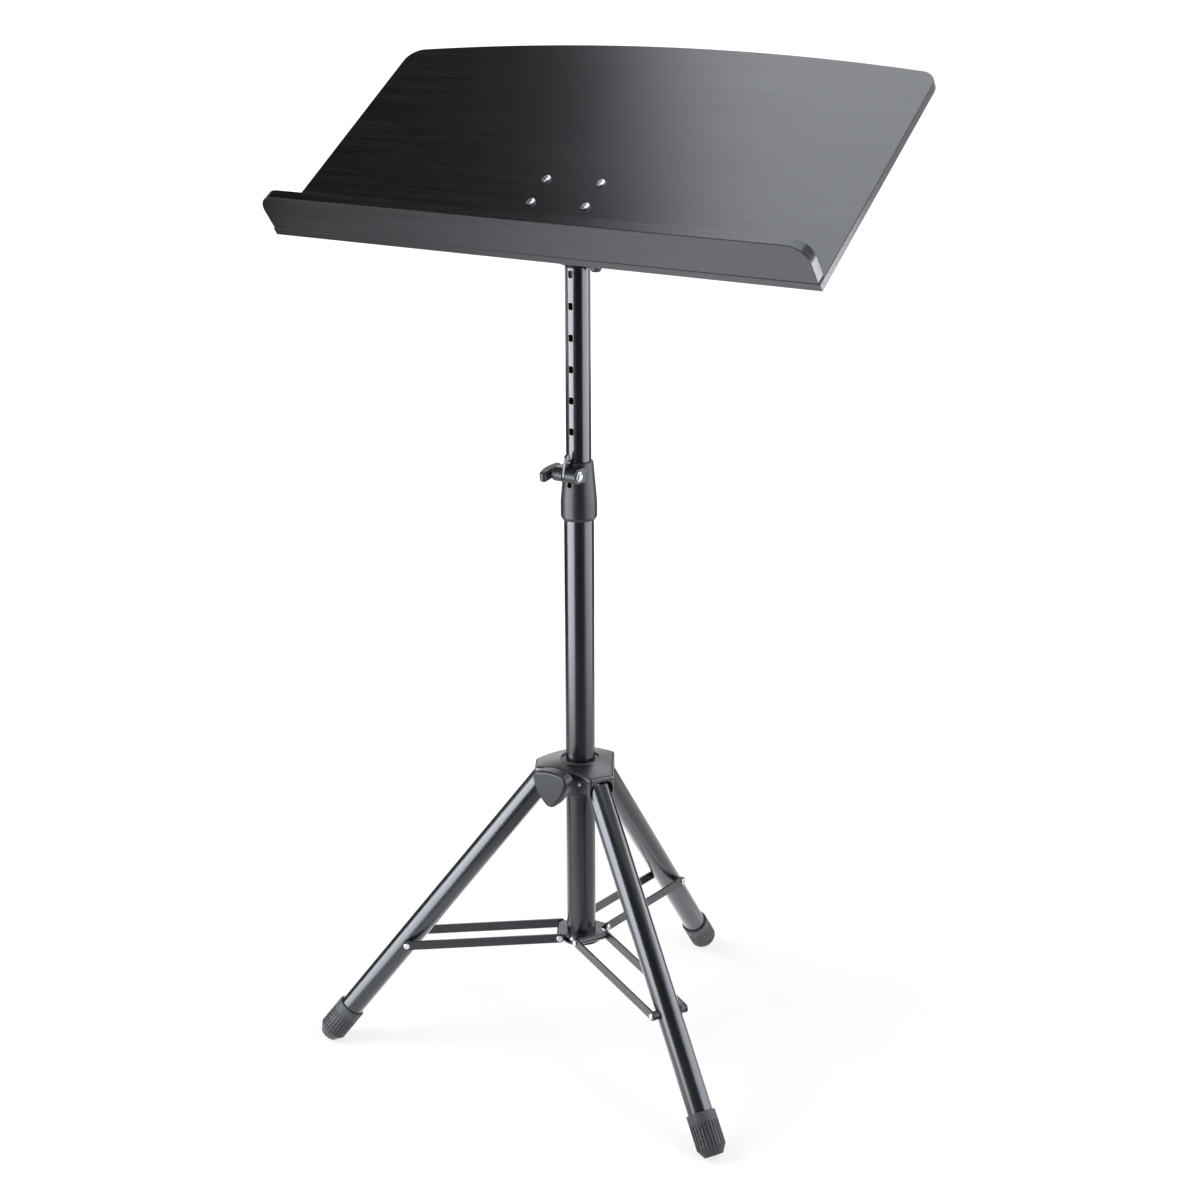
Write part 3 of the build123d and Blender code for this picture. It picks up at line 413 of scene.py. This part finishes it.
def add_sleeve(material):
    """Moulded guide sleeve that hangs from the bell core round the column."""
    profile = [
        (SLEEVE_BORE, SLEEVE_TOP),
        (SLEEVE_BORE, SLEEVE_BOTTOM + SLEEVE_ROUND),
        (SLEEVE_BORE + SLEEVE_INSET, SLEEVE_BOTTOM + SLEEVE_INSET),
        (SLEEVE_BORE + SLEEVE_ROUND, SLEEVE_BOTTOM),
        (SLEEVE_RADIUS - SLEEVE_ROUND, SLEEVE_BOTTOM),
        (SLEEVE_RADIUS - SLEEVE_INSET, SLEEVE_BOTTOM + SLEEVE_INSET),
        (SLEEVE_RADIUS, SLEEVE_BOTTOM + SLEEVE_ROUND),
        (SLEEVE_RADIUS, SLEEVE_TOP),
    ]
    sleeve = bmesh.new()
    rings = []
    for side in range(SLEEVE_SIDES):
        angle = 2 * pi * side / SLEEVE_SIDES
        ring = [sleeve.verts.new((radius * cos(angle), radius * sin(angle), z)) for radius, z in profile]
        rings.append(ring)
    for side in range(SLEEVE_SIDES):
        here = rings[side]
        after = rings[(side + 1) % SLEEVE_SIDES]
        for row in range(len(profile)):
            following = (row + 1) % len(profile)
            sleeve.faces.new((here[row], here[following], after[following], after[row]))
    bmesh.ops.recalc_face_normals(sleeve, faces=sleeve.faces)
    mesh = bpy.data.meshes.new("core_sleeve")
    sleeve.to_mesh(mesh)
    sleeve.free()
    mesh.shade_smooth()
    mesh.set_sharp_from_angle(angle=radians(SLEEVE_SHARP))
    mesh.materials.append(material)
    piece = bpy.data.objects.new("core_sleeve", mesh)
    scene.collection.objects.link(piece)
    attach(piece, "bell")


def seen_ray(tree):
    """1 for camera, glossy and transmission rays, 0 for the rays that light the object."""
    path = tree.add("ShaderNodeLightPath")
    first = tree.math("MAXIMUM", path.outputs["Is Camera Ray"], path.outputs["Is Glossy Ray"])
    return tree.math("MAXIMUM", first, path.outputs["Is Transmission Ray"])


def add_world():
    """White for what the camera and gloss see, soft grey light for the rest."""
    world = bpy.data.worlds.new("studio")
    scene.world = world
    world.use_nodes = True
    tree = ShaderTree(world.node_tree)
    light = tree.shader("ShaderNodeBackground", WORLD_TINT, WORLD_LIGHT)
    white = tree.shader("ShaderNodeBackground", WHITE, 1.0)
    tree.end(tree.mix_shaders(seen_ray(tree), light, white), "ShaderNodeOutputWorld")


def flat_piece(name, corners, material):
    """One flat stage piece from its four corners."""
    mesh = bpy.data.meshes.new(name)
    mesh.from_pydata(corners, [], [(0, 1, 2, 3)])
    mesh.materials.append(material)
    piece = bpy.data.objects.new(name, mesh)
    scene.collection.objects.link(piece)
    return piece


def level_corners(x_span, y_span, height):
    """Corners of a level rectangle."""
    left, right = x_span
    front, back = y_span
    return [(left, front, height), (right, front, height), (right, back, height), (left, back, height)]


def add_floor():
    """Pale floor that reads white and keeps a soft shadow near the feet."""
    material, tree = new_material("floor")
    plain = tree.shader("ShaderNodeBsdfDiffuse", FLOOR_PALE)
    shaded = tree.shader("ShaderNodeBsdfDiffuse", FLOOR_SHADE)
    distance = tree.length(tree.coordinates())
    glow = tree.span(distance, low=FLOOR_GLOW, high=1.0, start=FLOOR_NEAR, end=FLOOR_FAR)
    path = tree.add("ShaderNodeLightPath")
    strength = tree.math("MAXIMUM", glow, path.outputs["Is Glossy Ray"])
    lifted = tree.sum_shaders(shaded, tree.shader("ShaderNodeEmission", WHITE, strength))
    tree.end(tree.mix_shaders(seen_ray(tree), plain, lifted))
    side = (-FLOOR_HALF, FLOOR_HALF)
    flat_piece("floor", level_corners(side, side, 0.0), material)


def add_lamp(name, place, size, power):
    """Soft lamp that looks at the stand and lights it without a mirror image of its own."""
    data = bpy.data.lights.new(name, "AREA")
    data.shape = "RECTANGLE"
    data.size = size[0]
    data.size_y = size[1]
    data.energy = power
    lamp = bpy.data.objects.new(name, data)
    lamp.location = place
    aim = Vector(LAMP_TARGET) - Vector(place)
    lamp.rotation_euler = aim.to_track_quat("-Z", "Y").to_euler()
    lamp.visible_glossy = False
    scene.collection.objects.link(lamp)


def spared_group():
    """The group of wood and nut that some cards don't light."""
    group = bpy.data.collections.new("without_cards")
    for name in SPARED_NODES:
        group.objects.link(nodes[name])
    for member in group.collection_objects:
        member.light_linking.link_state = "EXCLUDE"
    return group


def card_material(name, axis, turn, fade_span, levels, kind, see_through=False):
    """Glow from the first place and level to the second, along an axis turned by some degrees."""
    material, tree = new_material(name)
    axes = tree.add("ShaderNodeSeparateXYZ")
    tree.link(tree.coordinates(turn=(0, 0, radians(turn))), axes.inputs["Vector"])
    strength = tree.span(axes.outputs[axis], *levels, *fade_span, kind)
    shader = tree.shader("ShaderNodeEmission", CARD_TINT, strength)
    if see_through:
        shader = tree.sum_shaders(shader, tree.shader("ShaderNodeBsdfTransparent", WHITE))
    tree.end(shader)
    return material


def show_to_gloss(card):
    """Let only reflections meet a card."""
    card.visible_camera = False
    card.visible_diffuse = False
    card.visible_transmission = False
    card.visible_shadow = False


def add_side_card(name, bearings, distance, heights, levels, spared=None):
    """Upright card between two bearings, counted from the camera to the right round the tube axis."""
    start, end = bearings
    bottom, top = heights
    see_through = spared is not None
    material = card_material(name, "Z", 0.0, (0.0, CARD_RISE), levels, "LINEAR", see_through)
    azimuth = atan2(CAMERA_PLACE.y, CAMERA_PLACE.x) + radians((start + end) / 2)
    outward = Vector((cos(azimuth), sin(azimuth), 0.0))
    half_width = distance * tan(radians((end - start) / 2))
    across = Vector((-sin(azimuth), cos(azimuth), 0.0)) * half_width
    foot = outward * distance + Vector((0.0, 0.0, bottom))
    rise = Vector((0.0, 0.0, top - bottom))
    corners = [foot - across, foot + across, foot + across + rise, foot - across + rise]
    card = flat_piece(name, corners, material)
    if see_through:
        card.light_linking.receiver_collection = spared
    show_to_gloss(card)


def add_level_card(name, height, x_span, y_span, turn, fade_span, levels):
    """Level card that fades along X, turned by some degrees."""
    material = card_material(name, "X", turn, fade_span, levels, "SMOOTHSTEP")
    show_to_gloss(flat_piece(name, level_corners(x_span, y_span, height), material))


def add_side_cards():
    """Bright cards and dark flags round the stand, which draw the lines of light on the tubes."""
    spared = spared_group()
    # Each has its bearings, distance, heights, and its levels at the floor and at the end of the rise
    add_side_card("card_front", (-39.0, 42.0), 0.6, (0.0, 0.9), (0.5, 0.05))
    add_side_card("card_left", (-98.0, -36.0), 1.0, CARD_HEIGHTS, (8.5, 14.5), spared)
    add_side_card("card_right", (38.0, 103.0), 1.0, CARD_HEIGHTS, (3.2, 8.5))
    add_side_card("card_right_end", (103.0, 114.0), 1.15, CARD_HEIGHTS, (2.2, 7.5), spared)
    add_side_card("flag_left", (-150.0, -98.0), 1.1, FLAG_HEIGHTS, FLAG_LEVELS)
    add_side_card("flag_right", (114.0, 150.0), 1.1, FLAG_HEIGHTS, FLAG_LEVELS)
    add_side_card("flag_back_left", (-174.0, -148.0), 1.5, FLAG_BACK_HEIGHTS, FLAG_LEVELS)
    add_side_card("flag_back_right", (148.0, 174.0), 1.5, FLAG_BACK_HEIGHTS, FLAG_LEVELS)
    add_side_card("card_back", (-182.0, -140.0), 3.0, (0.75, 2.0), (1.8, 1.8), spared)


def add_level_cards():
    """Ceiling card that the desk board mirrors, and floor card that the lip mirrors."""
    add_level_card(
        "card_desk",
        height=3.0,
        x_span=(-6.0, 2.0),
        y_span=(-3.0, 4.0),
        turn=-16.0,
        fade_span=(-1.3, -0.88),
        levels=(0.02, 3.4),
    )
    add_level_card(
        "card_lip",
        height=0.002,
        x_span=(-1.6, 0.1),
        y_span=(-0.45, 0.35),
        turn=0.0,
        fade_span=(-1.0, -0.15),
        levels=(0.55, 2.3),
    )


def add_studio():
    """Floor, world and lamps for the even light, and cards for the reflections."""
    add_world()
    add_floor()
    add_lamp("key", place=(-1.8, -1.6, 2.6), size=(1.6, 1.6), power=40.0)
    add_lamp("fill", place=(2.4, -0.6, 1.6), size=(1.0, 2.0), power=20.0)
    add_side_cards()
    add_level_cards()


add_camera()
finishes = dress_nodes()
add_sleeve(finishes["black_plastic"])
add_studio()
